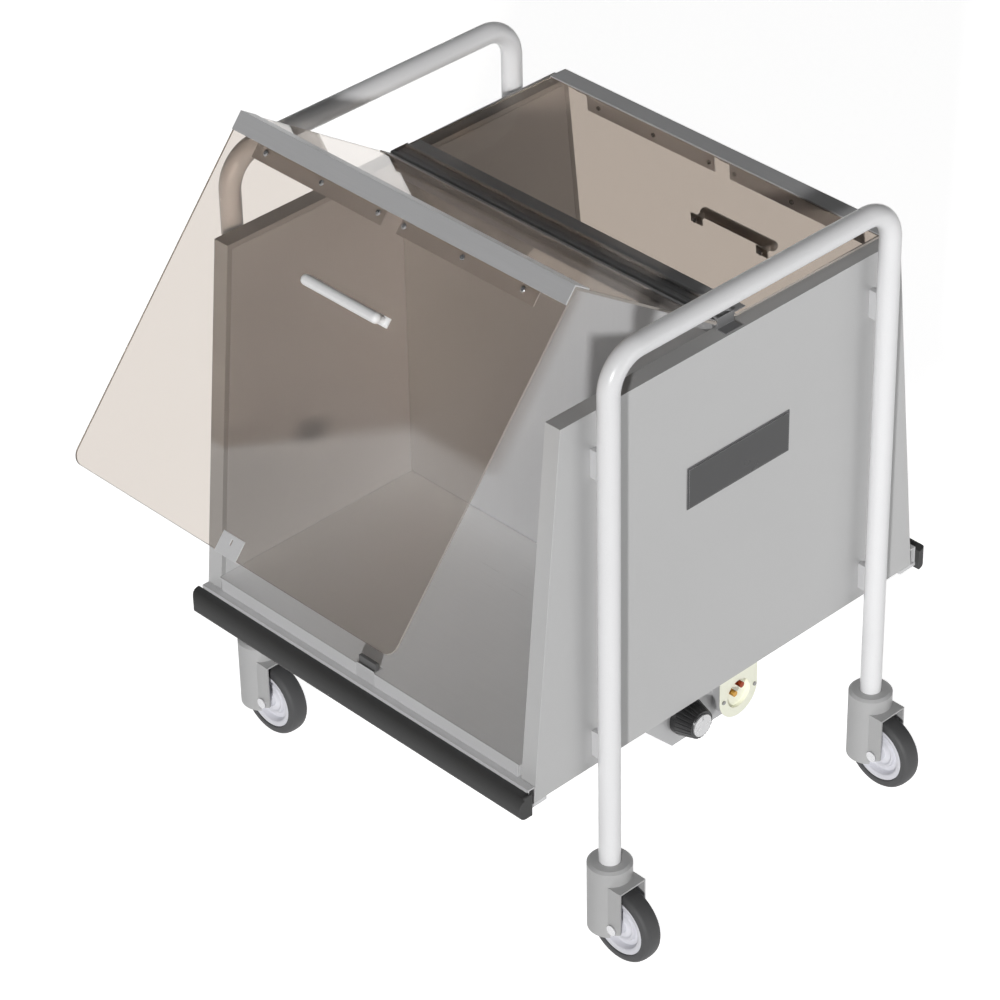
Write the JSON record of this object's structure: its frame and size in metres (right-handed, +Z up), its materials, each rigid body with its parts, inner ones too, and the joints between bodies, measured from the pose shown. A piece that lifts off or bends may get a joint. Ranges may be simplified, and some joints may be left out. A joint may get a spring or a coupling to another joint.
{
  "type": "heated storage cart",
  "caption": "Heated storage cart with insulated end walls, a heated deck, a divider, hinged clear lids on a centre beam, tube handle frames, bumpers and swivel casters.",
  "frame": {"origin": "on the floor under the middle of the deck, midway between the end walls", "axes": "+X along the cart towards the end with the knob and the power inlet, +Y from the front lid to the rear lid, +Z up"},
  "size_m": [0.8608, 1.0465, 1.0813],
  "materials": {
    "skin": "satin painted light grey sheet",
    "liner": "satin inner sheet",
    "insulation": "mineral wool slab",
    "base": "satin folded sheet",
    "deck": "brushed heated deck",
    "element": "dark sheathed heating rod",
    "beam": "dark grey satin",
    "bracket": "plain bent plate",
    "hinge": "continuous hinge leaf",
    "bolt": "plated screws, bolts and pins",
    "tube": "polished round tube",
    "bumper": "black moulded bumper",
    "catch": "plain plate",
    "pad": "soft pad",
    "nameplate": "dark bare plate with a light edge",
    "housing": "satin folded box",
    "thermostat": "moulded body",
    "inlet": "cream moulding",
    "inlet_pins": "contact pins and screws",
    "stem": "turned stem",
    "knob": "black ribbed knob",
    "knob_cap": "turned cap with a pointer groove",
    "clear_sheet": "smoked clear sheet",
    "rail": "satin angle rail",
    "strip": "satin clamp strip",
    "lid_handle": "polished round grip",
    "hood": "mid grey caster housing",
    "axle": "plated bolt and nut",
    "hub": "white moulded hub",
    "tyre": "dark grey soft tread"
  },
  "bodies": {
    "cart": {"outer_skin_left": "skin", "outer_skin_right": "skin", "wall_liners": "liner", "insulation": "insulation", "base_pan": "base", "deck_plate": "deck", "heating_element": "element", "divider": "liner", "centre_beam": "beam", "beam_brackets": "bracket", "fixed_hinge_leaves": "hinge", "hinge_pins": "bolt", "handle_frame_left": "tube", "handle_frame_right": "tube", "standoff_tabs": "bracket", "standoff_bolts": "bolt", "bumper_front": "bumper", "bumper_rear": "bumper", "lid_catches": "catch", "catch_pads": "pad", "nameplate": "nameplate", "control_housing": "housing", "thermostat": "thermostat", "power_inlet": "inlet", "inlet_pins": "inlet_pins", "caster_stems": "stem"},
    "knob": {"knob": "knob", "knob_cap": "knob_cap"},
    "lid_front": {"top_sheet_front": "clear_sheet", "front_sheet_front": "clear_sheet", "corner_rail_front": "rail", "clamp_strips_front": "strip", "lid_screws_front": "bolt", "lid_handle_front": "lid_handle", "hinge_leaf_front": "hinge", "strike_plate_front": "catch"},
    "lid_rear": {"top_sheet_rear": "clear_sheet", "front_sheet_rear": "clear_sheet", "corner_rail_rear": "rail", "clamp_strips_rear": "strip", "lid_screws_rear": "bolt", "lid_handle_rear": "lid_handle", "hinge_leaf_rear": "hinge", "strike_plate_rear": "catch"},
    "caster_1": {"caster_hood_1": "hood", "axle_1": "axle"},
    "wheel_1": {"wheel_hub_1": "hub", "tyre_1": "tyre"},
    "caster_2": {"caster_hood_2": "hood", "axle_2": "axle"},
    "wheel_2": {"wheel_hub_2": "hub", "tyre_2": "tyre"},
    "caster_3": {"caster_hood_3": "hood", "axle_3": "axle"},
    "wheel_3": {"wheel_hub_3": "hub", "tyre_3": "tyre"},
    "caster_4": {"caster_hood_4": "hood", "axle_4": "axle"},
    "wheel_4": {"wheel_hub_4": "hub", "tyre_4": "tyre"}
  },
  "joints": [
    {"name": "knob_turn", "type": "hinge", "parent": "cart", "child": "knob", "pos_m": [0.314, -0.07, 0.27], "axis": [-1, 0, 0], "range_deg": [0, 300]},
    {"name": "front_lid_hinge", "type": "hinge", "parent": "cart", "child": "lid_front", "pos_m": [0, -0.014, 0.905], "axis": [-1, 0, 0], "range_deg": [-34, 56]},
    {"name": "rear_lid_hinge", "type": "hinge", "parent": "cart", "child": "lid_rear", "pos_m": [0, 0.014, 0.905], "axis": [1, 0, 0], "range_deg": [0, 90]},
    {"name": "caster_swivel_1", "type": "hinge", "parent": "cart", "child": "caster_1", "pos_m": [0.3693, -0.273, 0.15], "axis": [0, 0, 1], "continuous": true},
    {"name": "wheel_spin_1", "type": "hinge", "parent": "caster_1", "child": "wheel_1", "pos_m": [0.3988, -0.273, 0.06], "axis": [0, 1, 0], "continuous": true},
    {"name": "caster_swivel_2", "type": "hinge", "parent": "cart", "child": "caster_2", "pos_m": [-0.3693, -0.273, 0.15], "axis": [0, 0, 1], "continuous": true},
    {"name": "wheel_spin_2", "type": "hinge", "parent": "caster_2", "child": "wheel_2", "pos_m": [-0.3398, -0.273, 0.06], "axis": [0, 1, 0], "continuous": true},
    {"name": "caster_swivel_3", "type": "hinge", "parent": "cart", "child": "caster_3", "pos_m": [0.3693, 0.273, 0.15], "axis": [0, 0, 1], "continuous": true},
    {"name": "wheel_spin_3", "type": "hinge", "parent": "caster_3", "child": "wheel_3", "pos_m": [0.3988, 0.273, 0.06], "axis": [0, 1, 0], "continuous": true},
    {"name": "caster_swivel_4", "type": "hinge", "parent": "cart", "child": "caster_4", "pos_m": [-0.3693, 0.273, 0.15], "axis": [0, 0, 1], "continuous": true},
    {"name": "wheel_spin_4", "type": "hinge", "parent": "caster_4", "child": "wheel_4", "pos_m": [-0.3398, 0.273, 0.06], "axis": [0, 1, 0], "continuous": true}
  ]
}
